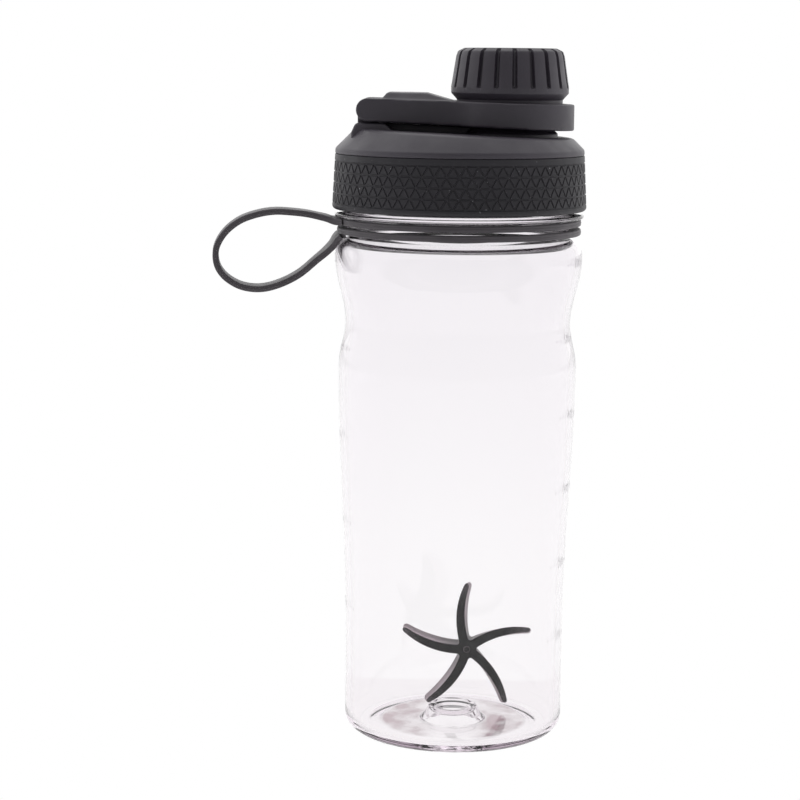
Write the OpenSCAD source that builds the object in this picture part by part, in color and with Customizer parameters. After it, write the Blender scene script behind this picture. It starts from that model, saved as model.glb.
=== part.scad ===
// Protein shaker bottle: clear body, screw lid with a tethered spout cap,
// carry strap round the neck and a loose mixing star.
// Millimetres. Origin at the centre of the foot, +Z up, strap loop towards -X, cap towards +X.

/* [Body] */
// Inner radius of the neck and mouth
mouth_r = 34.0; // [33:0.1:36]
// How far the shoulder stands out beyond the neck
shoulder_out = 4.2; // [3.9:0.1:4.4]
// How far the finger waist lies in from the shoulder
waist_in = 3.5; // [2:0.1:4]
// How far the widest part below the waist lies in from the shoulder
swell_in = 1.3; // [0.5:0.1:2]
// How far the straight part above the foot lies in from the shoulder
foot_in = 4.1; // [3:0.1:5]
// Height where the body starts to widen
swell_z = 33; // [25:1:45]
// Height where the body is widest below the waist
swell_top_z = 121; // [112:1:123]
// Height of the finger waist
waist_z = 137.5; // [134:0.5:140]
// Height of the centre of the shoulder's round
shoulder_z = 160; // [158:0.5:161]
// Radius of the shoulder's round
shoulder_round = 5.4; // [5.3:0.1:6]
// Thickness of the clear wall
wall = 2.2; // [1.8:0.1:2.4]
// Radius of the round at the foot
foot_round = 5.3; // [4:0.1:6]

/* [Base] */
// Radius of the recess in the underside
recess_r = 25.5; // [22:0.5:27]
// Depth of the recess in the underside
recess_h = 1.0; // [0.6:0.1:1.2]
// Thickness of the floor over the recess
floor_t = 1.8; // [1.5:0.1:2.4]
// Radius of the raised boss in the floor at its foot
boss_base_r = 11.0; // [10:0.1:12]
// Radius of the raised boss at its rim
boss_top_r = 8.0; // [7.4:0.1:8.4]
// Height of the boss's rim above the floor
boss_h = 4.4; // [3.8:0.1:5.4]

/* [Neck] */
// Thickness of the neck where the strap lies
neck_t = 2.3; // [2:0.1:2.6]
// Height of the neck between the shoulder and the lower strap ring
neck_rise = 0.75; // [0.6:0.05:1.2]
// Height of the stop bead above the strap groove
bead_h = 1.55; // [1.5:0.05:2]
// How far the stop bead stands out beyond the neck
bead_out = 4.4; // [4:0.1:4.6]
// Height of the threaded finish above the bead
finish_h = 16.25; // [15.6:0.05:17.6]
// Thickness of the finish at the root of its thread
finish_t = 3.0; // [2.8:0.1:3.3]

/* [Carry strap] */
// Thickness of the silicone strap
strap_t = 2.0; // [1.8:0.1:2.1]
// Width of the strap where it forms the loop
strap_w = 11; // [9:0.5:13]
// Radial width of each strap ring
ring_w = 3.4; // [3:0.1:3.6]
// Free height between the strap rings and the faces of the groove
strap_clear = 0.3; // [0.2:0.05:0.4]
// Free height between the two stacked strap rings
ring_gap = 1.0; // [0.4:0.1:1.2]
// Free radius between a strap ring and the neck
ring_clear = 0.3; // [0.2:0.05:0.4]
// Radius of the flare between the loop and each ring
web_round = 12; // [8:0.5:14]
// How far the loop reaches beyond the rings
loop_reach = 39.5; // [30:0.5:50]
// Direction that the loop points to, in degrees about the bottle's axis
loop_azimuth = 186; // [170:1:190]

/* [Lid] */
// Free height between the stop bead and the lid
skirt_gap = 1.0; // [0.8:0.05:1.6]
// Height of the soft grip band
band_h = 18; // [17.4:0.1:19]
// Thickness of the grip band near its lower edge
band_low_t = 1.8; // [1.4:0.05:2.2]
// Thickness of the grip band at its upper edge
band_top_t = 0.8; // [0.6:0.05:1.2]
// Round at the lower edge of the grip band
band_round = 1.2; // [0.8:0.1:1.5]
// Room for the thread between the finish and the hard skirt
thread_room = 1.5; // [1.3:0.05:1.6]
// Thickness of the hard skirt under the band
skirt_t = 1.3; // [1.1:0.05:1.6]
// How far the lid's edge stands out beyond the skirt
rim_out = 0.8; // [0.6:0.05:1.2]
// Height of the upright edge above the band
rim_h = 1.1; // [0.8:0.1:1.4]
// Height of the sloped deck above the top of the band, on the bottle's axis
deck_h = 6.9; // [6.5:0.1:7.2]
// Slope of the deck down towards the spout, in degrees
deck_tilt = 2.3; // [1.8:0.1:2.6]
// Radius of the round between the deck and the shoulder of the lid
deck_round = 2.5; // [1:0.1:3]
// Thickness of the seal ring
seal_t = 2.0; // [1.6:0.1:2.2]
// Free height on each side of the seal ring
seal_clear = 0.2; // [0.1:0.05:0.3]
// Headroom under the deck above the seal seat
ceiling_h = 3.6; // [3:0.1:3.8]

/* [Spout] */
// Distance of the spout's axis from the bottle's axis
spout_x = 16; // [15.5:0.1:16.5]
// Outer radius of the spout
spout_r = 13.6; // [13:0.1:13.8]
// Inner radius of the spout
spout_bore_r = 11.9; // [11:0.1:12.2]

/* [Cap] */
// Height of the cap above its widest edge
cap_h = 14.4; // [14:0.1:16]
// Outer radius of the cap at its widest
cap_r = 19.1; // [18.8:0.1:19.4]
// Outer radius of the cap's flat top
cap_face_r = 14.8; // [14:0.1:15.5]
// Inner radius of the cap
cap_bore_r = 16.0; // [15.9:0.05:16.2]
// Thickness of the cap's top
cap_top_t = 2.6; // [2.2:0.1:3]
// Height of the cap's widest edge above the deck on the bottle's axis
cap_rim_up = 12.9; // [12.6:0.1:13.2]
// Height of the slope from the widest edge down to the collar
cap_slope_h = 2.1; // [1.8:0.1:2.4]
// Height of the collar that turns in the tether ring
collar_h = 6.7; // [6.4:0.1:7]
// Height of the collar's catch, and of its place above the collar's lower edge
catch_h = 1.2; // [1:0.1:1.4]
// How far the collar's catch stands out
catch_out = 0.7; // [0.5:0.05:0.8]
// Outer radius of the collar that turns in the tether ring
collar_r = 17.2; // [17.1:0.05:17.3]
// Number of finger grooves round the cap
groove_count = 20; // [12:1:24]
// Radius of each finger groove
groove_r = 0.75; // [0.5:0.05:0.9]
// Turn of the first finger groove from the front, in degrees
groove_phase = 3.4; // [0:0.1:9]
// Thickness of the sealing liner in the cap
liner_t = 2.0; // [1.6:0.1:2.4]
// Free height between the liner and the spout
liner_clear = 0.3; // [0.2:0.05:0.5]

/* [Tether] */
// Distance of the hinge axis in from the lid's edge
hinge_in = 10.8; // [10.4:0.1:11.2]
// Height of the hinge axis above the deck on the bottle's axis
hinge_up = 7.3; // [7.2:0.1:7.6]
// Radius of the arm's round end at the hinge
knuckle_r = 3.7; // [3.5:0.1:3.8]
// Width of the arm at the hinge
arm_w = 26; // [24:0.5:28]
// Width of the arm where it meets the ring
arm_root_w = 28.8; // [28:0.2:31]
// Radius of the corner between the arm and the ring
arm_fillet = 16; // [8:1:20]
// Outer radius of the ring round the spout
tether_r = 21; // [20.6:0.1:21.4]
// Depth of the ring's lower face below the hinge axis
ring_low = 6.35; // [6.2:0.05:6.5]
// Height of the ring's upper face above the hinge axis
ring_top = 2.1; // [1.8:0.1:2.3]
// Free radius between the ring and the cap's collar
collar_clear = 0.3; // [0.25:0.05:0.35]
// Free height under the arm at the hinge, above the pedestal
arm_clear = 0.5; // [0.4:0.05:0.6]
// Width of the rest on the deck that the arm lies on
rest_w = 12; // [8:0.5:16]
// Width of the lid's own knuckle between the two halves of the arm
block_w = 10; // [8:0.5:12]
// Free width on each side of the lid's knuckle
block_clear = 0.4; // [0.3:0.05:0.5]
// Radius of the hinge pin
pin_r = 1.25; // [1:0.05:1.4]
// Free radius between the pin and the arm
pin_clear = 0.05; // [0.03:0.01:0.08]
// Height of the thumb rest above the arm
thumb_h = 1.9; // [1.4:0.1:2.1]
// Length of the thumb rest
thumb_len = 24.4; // [20:0.2:26]
// Distance of the thumb rest from the hinge axis
thumb_start = 4.4; // [4.2:0.1:6]

/* [Mixing star] */
// Number of arms
star_arms = 5; // [4:1:6]
// Distance of an arm's tip from the centre
star_r = 23; // [20:0.5:24]
// Width of an arm at the hub
star_arm_w = 3.4; // [2.8:0.1:3.8]
// Width of an arm near its tip
star_tip_w = 2.5; // [1.8:0.1:2.8]
// How far the middle of an arm bows out
star_bow = 2.3; // [1.5:0.1:3]
// Depth of the star
star_depth = 6.5; // [5:0.5:7]
// Twist of the arms between the star's front and its back, in degrees
star_twist = 8; // [0:1:12]
// Distance of the star's middle plane behind the bottle's axis
star_y = 11.2; // [10.8:0.1:12]
// Sideways place of the star
star_x = 4.6; // [0:0.1:5]
// Free height under the star's lower tips
star_clear = 0.3; // [0.2:0.1:0.5]

/* [Hidden] */
$fn = 96;
eps = 0.01;
big = 200;

// Radii of the body, the neck and the strap's rings
neck_r = mouth_r + neck_t;
finish_r = mouth_r + finish_t;
bead_r = neck_r + bead_out;
shoulder_r = neck_r + shoulder_out;
waist_r = shoulder_r - waist_in;
swell_r = shoulder_r - swell_in;
foot_r = shoulder_r - foot_in;
ring_in_r = neck_r + ring_clear;
ring_out_r = ring_in_r + ring_w;

// Radii of the lid and its band
skirt_bore_r = finish_r + thread_room;
skirt_r = skirt_bore_r + skirt_t;
band_fit = 0.05;
band_in_r = skirt_r + band_fit;
band_low_r = band_in_r + band_low_t;
band_top_r = band_in_r + band_top_t;
rim_r = skirt_r + rim_out;
well_r = mouth_r - 0.4;

// Levels of the neck, from the shoulder up
neck_z = shoulder_z + shoulder_round;
lower_ring_z = neck_z + neck_rise + strap_clear;
upper_ring_z = lower_ring_z + strap_t + ring_gap;
bead_z = upper_ring_z + strap_t + strap_clear;
finish_z = bead_z + bead_h;
mouth_z = finish_z + finish_h;

// Levels of the base
floor_z = recess_h + floor_t;

// Levels of the lid
lid_z = finish_z + skirt_gap;
seam_z = lid_z + band_h;
seal_z = mouth_z + seal_clear;
seat_z = seal_z + seal_t + seal_clear;
ceiling_z = seat_z + ceiling_h;
deck_z = seam_z + deck_h;

// Levels of the spout and cap
cap_rim_z = deck_z + cap_rim_up;
cap_ceiling_z = cap_rim_z + cap_h - cap_top_t;
liner_z = cap_ceiling_z - liner_t;
spout_z = liner_z - liner_clear;
collar_top_z = cap_rim_z - cap_slope_h;
collar_z = collar_top_z - collar_h;
catch_z = collar_z + catch_h;
ring_bore_r = collar_r + collar_clear;

// Places of the hinge and the arm
hinge_x = rim_r - hinge_in;
hinge_z = deck_z + hinge_up;
pedestal_z = hinge_z - knuckle_r - arm_clear;
arm_end_x = spout_x + tether_r;
arm_low_z = hinge_z - ring_low;
arm_top_z = hinge_z + ring_top;
block_r = knuckle_r - 0.3;
pin_cheek = 1.3;
pin_inset = 0.3;
pin_len = arm_w - pin_cheek - 2 * pin_inset;

function deck_at(x) = deck_z - x * tan(deck_tilt);
function ease(t) = t * t * (3 - 2 * t);
function blend(z, z0, z1, r0, r1) = r0 + (r1 - r0) * ease(max(0, min(1, (z - z0) / (z1 - z0))));
function arc(cx, cy, r, a0, a1, n = 8) =
  [for (i = [0:n]) [cx + r * cos(a0 + (a1 - a0) * i / n), cy + r * sin(a0 + (a1 - a0) * i / n)]];
function flip(points) = [for (i = [len(points) - 1:-1:0]) points[i]];

// Outer radius of the body at a height between the foot and the shoulder
waist_start_z = swell_top_z + 2;
function body_r(z) =
  z < swell_top_z ? blend(z, swell_z, swell_top_z, foot_r, swell_r) :
  z < waist_z ? blend(z, waist_start_z, waist_z, swell_r, waist_r) :
  blend(z, waist_z, shoulder_z - 2, waist_r, shoulder_r);
body_steps = 34;
function body_z(i, z0) = z0 + (shoulder_z - z0) * i / body_steps;

module bottle() {
  outer_foot = arc(foot_r - foot_round, foot_round, foot_round, -90, 0);
  inner_round = foot_round - wall;
  inner_foot = arc(foot_r - foot_round, floor_z + inner_round, inner_round, -90, 0);
  outer_top = arc(shoulder_r - shoulder_round, shoulder_z, shoulder_round,
    0, acos((neck_r - shoulder_r + shoulder_round) / shoulder_round));
  inner_top = arc(shoulder_r - shoulder_round, shoulder_z, shoulder_round - wall, 0, 80);
  bead_round = 0.7;
  skin = floor_t * 0.9;
  outside = concat(
    [[0, recess_h + boss_h - 1.2], [boss_top_r - skin - 1, recess_h + boss_h - 0.8],
      [boss_top_r - skin, recess_h + boss_h - 0.4], [boss_base_r - skin - 1.4, recess_h + 1.2],
      [boss_base_r - skin, recess_h], [recess_r, recess_h], [recess_r + recess_h, 0]],
    outer_foot,
    [for (i = [1:body_steps]) [body_r(body_z(i, foot_round)), body_z(i, foot_round)]],
    outer_top,
    [[neck_r, bead_z]],
    arc(bead_r - bead_round, bead_z + bead_round, bead_round, -90, 0, 4),
    arc(bead_r - bead_round, finish_z - bead_round, bead_round, 0, 90, 4),
    [[finish_r + 0.6, finish_z], [finish_r, finish_z + 0.6], [finish_r, mouth_z - 0.8],
      [finish_r - 0.8, mouth_z]]);
  inside = concat(
    [[0, floor_z + boss_h - 1.2], [boss_top_r - 1.4, floor_z + boss_h - 0.8],
      [boss_top_r - 0.5, floor_z + boss_h], [boss_top_r, floor_z + boss_h - 0.4],
      [boss_base_r - 1.6, floor_z + 1.4], [boss_base_r, floor_z]],
    inner_foot,
    [for (i = [1:body_steps]) let (z = body_z(i, floor_z + inner_round)) [body_r(z) - wall, z]],
    inner_top,
    [[mouth_r + 0.5, neck_z], [mouth_r, neck_z + 1], [mouth_r, mouth_z - 0.5], [mouth_r + 0.5, mouth_z]]);
  color([0.93, 0.91, 0.93, 0.35]) rotate_extrude() polygon(concat(outside, flip(inside)));
}

module strap_ring(z) {
  edge = 0.4;
  color([0.16, 0.155, 0.165]) translate([0, 0, z]) rotate_extrude()
    polygon([[ring_in_r, edge], [ring_in_r + edge, 0], [ring_out_r - edge, 0], [ring_out_r, edge],
      [ring_out_r, strap_t - edge], [ring_out_r - edge, strap_t], [ring_in_r + edge, strap_t],
      [ring_in_r, strap_t - edge]]);
}

module strap_lower_ring() strap_ring(lower_ring_z);

module strap_upper_ring() strap_ring(upper_ring_z);

// Free part of the loop's middle line, as shares of its reach: distance beyond the rings, and height
// above the lower ring's middle
loop_shape = [
  [0.152, 0.113], [0.253, 0.134], [0.38, 0.148], [0.519, 0.153], [0.658, 0.13], [0.797, 0.079],
  [0.911, -0.008], [0.982, -0.115], [1, -0.213], [0.977, -0.313], [0.906, -0.399], [0.785, -0.465],
  [0.633, -0.483], [0.476, -0.446], [0.314, -0.364], [0.168, -0.243]];
// The whole middle line, with the ends that run out of the two rings
ring_pitch = strap_t + ring_gap;
upper_end = [for (p = [[-1.7, 0], [-0.5, 0], [0.6, 0.05], [1.7, 0.42]]) strap_t * p + [0, ring_pitch]];
lower_end = strap_t * [[1.9, -3.6], [0.72, -2.4], [0.08, -1.4], [-0.8, -0.75], [-1.7, -0.6]];
loop_route = concat(upper_end, loop_reach * loop_shape, lower_end);
loop_span = 4;
function spline(a, b, c, d, t) = 0.5 * (2 * b + (c - a) * t + (2 * a - 5 * b + 4 * c - d) * t * t
  + (3 * b - a - 3 * c + d) * t * t * t);
function route_at(u) = let (last = len(loop_route) - 1, i = min(last - 1, floor(u)), p = loop_route)
  spline(p[max(0, i - 1)], p[i], p[i + 1], p[min(last, i + 2)], u - i);
function side_of(u, d) = let (h = 0.02, v = route_at(u + h) - route_at(u - h))
  route_at(u) + d * [-v[1], v[0]] / norm(v);

module loop_outline() {
  last = (len(loop_route) - 1) * loop_span;
  steps = [for (i = [0:last]) min(last / loop_span - 0.03, max(0.03, i / loop_span))];
  polygon(concat([for (u = steps) side_of(u, strap_t / 2)], flip([for (u = steps) side_of(u, -strap_t / 2)])));
}

// Plan of the loop: a straight band that flares into the rings
module loop_plan() {
  side_y = strap_w / 2 + web_round;
  flare_end = sqrt(pow(ring_out_r + web_round, 2) - pow(side_y, 2));
  touch_y = side_y * ring_out_r / (ring_out_r + web_round);
  touch_x = flare_end * ring_out_r / (ring_out_r + web_round);
  translate([touch_x, -strap_w / 2]) square([ring_out_r + loop_reach + strap_t, strap_w]);
  difference() {
    translate([touch_x, -touch_y]) square([flare_end - touch_x, 2 * touch_y]);
    for (side = [-1, 1]) translate([flare_end, side * side_y]) circle(web_round);
  }
}

module strap_loop() {
  wide = 2 * (strap_w + web_round);
  low = lower_ring_z - loop_reach;
  color([0.18, 0.175, 0.185]) rotate([0, 0, loop_azimuth]) difference() {
    intersection() {
      translate([ring_out_r, wide / 2, lower_ring_z + strap_t / 2]) rotate([90, 0, 0])
        linear_extrude(wide) loop_outline();
      translate([0, 0, low]) linear_extrude(2 * loop_reach) loop_plan();
    }
    translate([0, 0, low]) cylinder(r = ring_out_r, h = 2 * loop_reach);
  }
}

// Curved arm of the mixing star, from the hub at the origin to its tip along +Y
module star_arm() {
  bow_r = (star_r * star_r / 4 + star_bow * star_bow) / (2 * star_bow);
  half = asin(star_r / 2 / bow_r);
  centre = [bow_r - star_bow, star_r / 2];
  tip_round = star_tip_w / 2;
  steps = 10;
  end_trim = asin(tip_round / bow_r);
  function along(i, side) = let (t = i / steps, a = 180 + half - (2 * half - end_trim) * t,
    w = (star_arm_w + (star_tip_w - star_arm_w) * t) / 2)
    centre + (bow_r + side * w) * [cos(a), sin(a)];
  polygon([for (i = [0:steps]) along(i, -1), for (i = [steps:-1:0]) along(i, 1)]);
  translate((along(steps, 1) + along(steps, -1)) / 2) circle(tip_round, $fn = 24);
}

star_z = floor_z + star_clear + star_r * cos(180 / star_arms - star_twist) + star_tip_w / 4;

module mixer() {
  hub_r = 3.4;
  nub_r = 1;
  nub_h = 0.6;
  color([0.2, 0.19, 0.2]) translate([star_x, star_y, star_z]) rotate([90, 0, 0]) {
    translate([0, 0, -star_depth / 2]) linear_extrude(star_depth, twist = -star_twist, slices = 6)
      rotate(-star_twist) {
        circle(hub_r);
        for (i = [0:star_arms - 1]) rotate(i * 360 / star_arms) star_arm();
      }
    translate([0, 0, star_depth / 2]) cylinder(r = nub_r, h = nub_h);
  }
}

module lid_seal() {
  edge = 0.3;
  low = mouth_r + 0.2;
  high = skirt_bore_r - 0.3;
  color([0.78, 0.77, 0.78]) rotate_extrude()
    polygon([[low, seal_z + edge], [low + edge, seal_z], [high - edge, seal_z], [high, seal_z + edge],
      [high, seal_z + seal_t - edge], [high - edge, seal_z + seal_t],
      [low + edge, seal_z + seal_t], [low, seal_z + seal_t - edge]]);
}

// Side view outline, extruded along Y to the given width about the middle
module across(width) {
  rotate([90, 0, 0]) translate([0, 0, -width / 2]) linear_extrude(width) children();
}

// Revolved outside of the lid with a 45 degree shoulder that runs on past the deck
module lid_revolve() {
  skirt_low = lid_z + 0.3;
  shoulder_start = seam_z + rim_h;
  edge_round = 1.2;
  rotate_extrude() polygon(concat(
    [[0, skirt_low], [skirt_r, skirt_low], [skirt_r, seam_z], [rim_r, seam_z]],
    arc(rim_r - edge_round, shoulder_start, edge_round, 0, 45, 4),
    [[rim_r - 8.5, shoulder_start + 8.5 + 0.5], [0, shoulder_start + 9]]));
}

// Everything under the sloped deck, with the deck's rounded edge
module under_deck() {
  edge_r = rim_r + seam_z + rim_h + 0.5 - deck_z;
  reach = deck_round * tan(22.5);
  translate([edge_r * tan(deck_tilt), 0, deck_z]) rotate([0, deck_tilt, 0]) rotate_extrude()
    polygon(concat([[0, -40], [0, 0]],
      flip(arc(edge_r - reach, -deck_round, deck_round, 45, 90, 5)),
      [[edge_r + 40, -40]]));
}

// Narrow rest that the arm lies on, between the hinge seat and the spout
module arm_rest() {
  start = 25;
  end = spout_x - spout_r;
  rest_z = pedestal_z + 0.1;
  fall = (ring_low - knuckle_r) / (arm_end_x + hinge_x);
  across(rest_w) polygon([[-start, ceiling_z + 1], [-start, rest_z - fall * (hinge_x - start)],
    [end, rest_z - fall * (hinge_x + end)], [end, ceiling_z + 1]]);
}

// Raised seat for the hinge, with the lid's own knuckle
module hinge_seat() {
  seat_w = arm_w;
  corner = 3;
  left = hinge_x + knuckle_r + 0.1;
  right = 24;
  intersection() {
    across(seat_w) polygon([[-left - 1.4, seam_z + 0.4], [-left - 1.4, deck_z], [-left, pedestal_z],
      [-right, pedestal_z], [-right + 3, ceiling_z + 3], [-right + 3, seam_z + 0.4]]);
    translate([0, 0, seam_z]) linear_extrude(16) union() {
      translate([-left - 4, -seat_w / 2 + corner]) square([left - right + 8, seat_w - 2 * corner]);
      translate([-left - 4 + corner, -seat_w / 2]) square([left - right + 8 - corner, seat_w]);
      for (side = [-1, 1])
        translate([-left - 4 + corner, side * (seat_w / 2 - corner)]) circle(corner);
    }
  }
  translate([-hinge_x, 0, hinge_z]) across(block_w) {
    circle(block_r);
    translate([-block_r, -knuckle_r - arm_clear - 1]) square([2 * block_r, knuckle_r + arm_clear + 1]);
  }
}

module lid_shell() {
  spout_foot_r = spout_r + 1.2;
  color([0.19, 0.185, 0.195]) difference() {
    union() {
      intersection() {
        lid_revolve();
        under_deck();
      }
      hinge_seat();
      arm_rest();
      translate([spout_x, 0, ceiling_z]) rotate_extrude() polygon([[0, 0], [spout_foot_r, 0],
        [spout_foot_r, deck_z - ceiling_z + 0.4], [spout_r, deck_z - ceiling_z + 1.6],
        [spout_r, spout_z - ceiling_z - 0.6], [spout_r - 0.6, spout_z - ceiling_z], [0, spout_z - ceiling_z]]);
    }
    translate([0, 0, lid_z - 1]) cylinder(r = skirt_bore_r, h = seat_z - lid_z + 1);
    translate([0, 0, seat_z - eps]) cylinder(r = well_r, h = ceiling_z - seat_z + eps);
    translate([spout_x, 0, ceiling_z - 1]) cylinder(r = spout_bore_r, h = big);
    translate([-hinge_x, 0, hinge_z]) across(block_w + 2) circle(pin_r);
  }
}

module grip_band() {
  low_r = band_low_r;
  color([0.13, 0.125, 0.14]) rotate_extrude() polygon(concat(
    [[band_in_r, lid_z]],
    arc(low_r - band_round, lid_z + band_round, band_round, -90, 0, 6),
    [[band_top_r, seam_z - 0.35], [band_top_r - 0.3, seam_z - 0.05], [band_in_r, seam_z - 0.05]]));
}

module hinge_pin() {
  color([0.7, 0.7, 0.72]) translate([-hinge_x, arm_w / 2 - pin_inset, hinge_z]) rotate([90, 0, 0])
    cylinder(r = pin_r, h = pin_len);
}

// Side view of the arm: round end at the hinge, thicker towards the ring
module arm_side() {
  translate([-hinge_x, hinge_z]) circle(knuckle_r);
  polygon([[-hinge_x, hinge_z - knuckle_r], [arm_end_x + 1, arm_low_z - 0.05], [arm_end_x + 1, arm_top_z],
    [-hinge_x, hinge_z + knuckle_r]]);
}

// Plan of the arm: bar that runs into the ring round the spout with a rounded corner on each side
module arm_plan() {
  start_x = -hinge_x - knuckle_r - 1;
  corner_y = arm_root_w / 2 + arm_fillet;
  corner_x = spout_x - sqrt(pow(tether_r + arm_fillet, 2) - pow(corner_y, 2));
  share = tether_r / (tether_r + arm_fillet);
  touch = [spout_x + (corner_x - spout_x) * share, corner_y * share];
  translate([spout_x, 0]) circle(tether_r);
  difference() {
    polygon([[start_x, -arm_w / 2], [corner_x, -arm_root_w / 2], [corner_x, -touch[1]], [touch[0], -touch[1]],
      touch, [corner_x, touch[1]], [corner_x, arm_root_w / 2], [start_x, arm_w / 2]]);
    for (side = [-1, 1]) translate([corner_x, side * corner_y]) circle(arm_fillet);
  }
}

// Thumb rest: low wedge with sloped sides on top of the arm
module thumb_rest() {
  left = thumb_start - hinge_x;
  base_z = hinge_z + ring_top / 2;
  foot_z = hinge_z + knuckle_r;
  top_z = foot_z + thumb_h;
  side_y = arm_w / 2;
  side_run = 1.4 * thumb_h;
  intersection() {
    across(arm_w) polygon([[left, base_z], [left, foot_z - 0.3], [left + thumb_h, top_z],
      [left + 0.6 * thumb_len, top_z - 0.1], [left + thumb_len, foot_z - 1], [left + thumb_len, base_z]]);
    translate([-big / 2, 0, 0]) rotate([90, 0, 90]) linear_extrude(big)
      polygon([[-side_y, base_z], [-side_y, foot_z - 0.6], [-side_y + side_run, top_z + 0.2],
        [side_y - side_run, top_z + 0.2], [side_y, foot_z - 0.6], [side_y, base_z]]);
  }
}

module tether_arm() {
  slot_w = block_w + 2 * block_clear;
  slot_end = hinge_x - knuckle_r - 1.2;
  bore_len = pin_len + pin_inset + 1;
  groove_z = catch_z - 0.5;
  groove_h = catch_h + 1;
  arm_room = 2 * (ring_low + ring_top + thumb_h);
  color([0.175, 0.17, 0.18]) difference() {
    union() {
      intersection() {
        translate([0, 0, hinge_z - arm_room / 2]) linear_extrude(arm_room) arm_plan();
        across(3 * tether_r) arm_side();
      }
      thumb_rest();
    }
    translate([spout_x, 0, hinge_z - arm_room / 2]) cylinder(r = ring_bore_r, h = arm_room);
    translate([spout_x, 0, groove_z]) cylinder(r = ring_bore_r + catch_out + 0.1, h = groove_h);
    translate([-hinge_x - arm_w / 2, -slot_w / 2, hinge_z - arm_room / 2])
      cube([hinge_x + arm_w / 2 - slot_end, slot_w, arm_room]);
    translate([-hinge_x, arm_w / 2 + 1, hinge_z]) rotate([90, 0, 0])
      cylinder(r = pin_r + pin_clear, h = bore_len);
  }
}

module spout_cap() {
  face_z = cap_h;
  rim_band = 1.7;
  taper_r = 17.55;
  taper_z = face_z - 2.6;
  lean = atan((cap_r - taper_r) / (taper_z - rim_band));
  color([0.185, 0.18, 0.19]) translate([spout_x, 0, cap_rim_z]) difference() {
    rotate_extrude() polygon([
      [0, face_z], [cap_face_r, face_z], [cap_face_r + 1.3, face_z - 0.4], [taper_r - 0.4, face_z - 1.3],
      [taper_r, taper_z], [cap_r, rim_band], [cap_r, 0], [collar_r, collar_top_z - cap_rim_z],
      [collar_r, catch_z + catch_h - cap_rim_z], [collar_r + catch_out, catch_z + catch_h - cap_rim_z - 0.3],
      [collar_r + catch_out, catch_z - cap_rim_z + 0.3], [collar_r, catch_z - cap_rim_z],
      [collar_r, collar_z - cap_rim_z], [cap_bore_r, collar_z - cap_rim_z],
      [cap_bore_r, cap_ceiling_z - cap_rim_z], [0, cap_ceiling_z - cap_rim_z]]);
    for (i = [0:groove_count - 1]) rotate([0, 0, groove_phase - 90 + i * 360 / groove_count])
      translate([cap_r + 0.1, 0, rim_band + groove_r]) {
        sphere(groove_r, $fn = 16);
        rotate([0, -lean, 0]) cylinder(r = groove_r, h = face_z + 4, $fn = 16);
      }
  }
}

module cap_liner() {
  color([0.82, 0.81, 0.82]) translate([spout_x, 0, liner_z]) cylinder(r = cap_bore_r - 0.3, h = liner_t);
}

bottle();
strap_lower_ring();
strap_upper_ring();
strap_loop();
mixer();
lid_seal();
lid_shell();
grip_band();
hinge_pin();
tether_arm();
spout_cap();
cap_liner();
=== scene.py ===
# %% [markdown]
# # A protein shaker bottle
# The real thing is a clear moulded bottle with a charcoal screw lid, a soft grip band, a spout cap that
# flips away on a hinged tether, a silicone carry strap and a loose mixing star. The solid model already
# gives every size and every joint. This lesson dresses it: each piece gets the rounded edges, threads,
# textures and finishes that the moulder and the assembler leave on the real one.

import math

import bmesh
import bpy
from mathutils import Matrix, Vector


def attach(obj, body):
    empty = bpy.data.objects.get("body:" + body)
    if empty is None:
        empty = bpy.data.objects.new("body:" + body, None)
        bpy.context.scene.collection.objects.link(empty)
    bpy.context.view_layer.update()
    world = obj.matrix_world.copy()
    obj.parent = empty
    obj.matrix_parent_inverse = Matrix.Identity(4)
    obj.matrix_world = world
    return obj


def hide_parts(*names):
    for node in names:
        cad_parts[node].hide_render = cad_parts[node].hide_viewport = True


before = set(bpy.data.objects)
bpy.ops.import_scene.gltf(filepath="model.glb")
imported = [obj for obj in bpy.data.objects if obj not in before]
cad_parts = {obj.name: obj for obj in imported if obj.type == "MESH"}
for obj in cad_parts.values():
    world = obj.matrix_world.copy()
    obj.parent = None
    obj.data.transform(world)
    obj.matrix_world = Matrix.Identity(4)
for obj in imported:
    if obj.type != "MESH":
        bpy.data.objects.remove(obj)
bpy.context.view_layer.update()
MM = 0.001
print("solid pieces:", ", ".join(sorted(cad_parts)))

# %% [markdown]
# ## The camera comes first
# A long lens from about seventy centimetres, level with the lid and tipped down a little, keeps the
# bottle's sides nearly parallel and still shows the top of the lid. Writing the direction as pitch, yaw and
# roll, and building the three axes from them, is easier to read and to change than three Euler angles.

# %% Camera
CAMERA_AT = Vector((0, -0.7276, 0.2220))
CAMERA_PITCH = math.radians(8.687)
CAMERA_YAW = math.radians(1.477)
CAMERA_ROLL = math.radians(0.538)
SENSOR_MM, LENS_MM = 36, 99.8


def camera_axes(pitch, yaw, roll):
    forward = Vector((-math.sin(yaw) * math.cos(pitch), math.cos(yaw) * math.cos(pitch), -math.sin(pitch)))
    right = Vector((math.cos(yaw), math.sin(yaw), 0))
    up = right.cross(forward)
    right_rolled = right * math.cos(roll) + up * math.sin(roll)
    up_rolled = up * math.cos(roll) - right * math.sin(roll)
    return Matrix((right_rolled, up_rolled, -forward)).transposed()


camera_data = bpy.data.cameras.new("portrait_camera")
camera_data.sensor_width = SENSOR_MM
camera_data.lens = LENS_MM
camera = bpy.data.objects.new("portrait_camera", camera_data)
bpy.context.scene.collection.objects.link(camera)
camera.matrix_world = Matrix.Translation(CAMERA_AT) @ camera_axes(
    CAMERA_PITCH, CAMERA_YAW, CAMERA_ROLL).to_4x4()
bpy.context.scene.camera = camera
bpy.context.scene.view_settings.view_transform = "Standard"
print("camera looks along", [round(v, 3) for v in -camera.matrix_world.col[2].xyz])

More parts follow.
